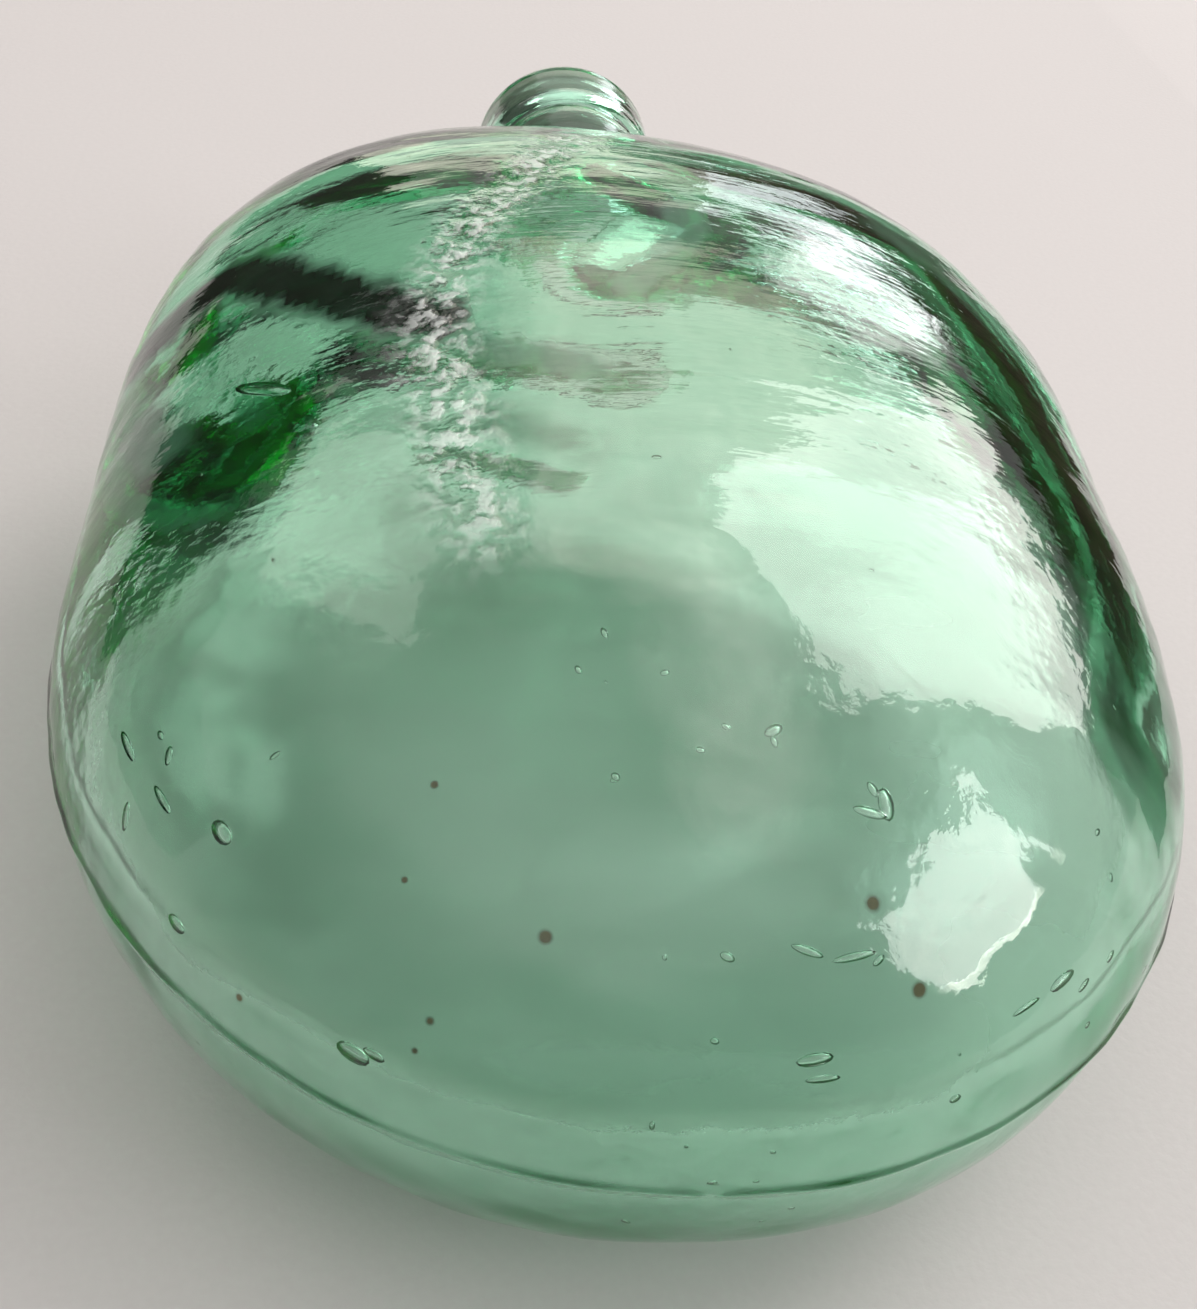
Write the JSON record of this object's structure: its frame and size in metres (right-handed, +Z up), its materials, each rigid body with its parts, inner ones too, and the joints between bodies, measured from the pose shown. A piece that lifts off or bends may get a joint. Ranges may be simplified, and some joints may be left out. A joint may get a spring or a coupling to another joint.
{
  "type": "glass flask",
  "caption": "Flat oval field flask of thick green blown glass with a short neck and a rounded lip, lying on its flattened back, closed by a tapered rubber stopper.",
  "frame": {"origin": "on the surface the flask lies on, under the centre of its bounding box", "axes": "+Y along the neck out of the mouth, +Z up through the convex front, +X to the right seen from the bottom end"},
  "size_m": [0.131, 0.199, 0.0723],
  "materials": {
    "green_glass": "wavy mould-blown glass, pale green, darker at the edges",
    "grey_rubber": "matte pale grey rubber, slightly dusty"
  },
  "bodies": {
    "flask": {"glass_body": "green_glass"},
    "stopper": {"rubber_stopper": "grey_rubber"}
  },
  "joints": [
    {"name": "stopper_pull", "type": "slide", "parent": "flask", "child": "stopper", "axis": [0, 1, 0], "range_m": [0, 0.045]}
  ]
}
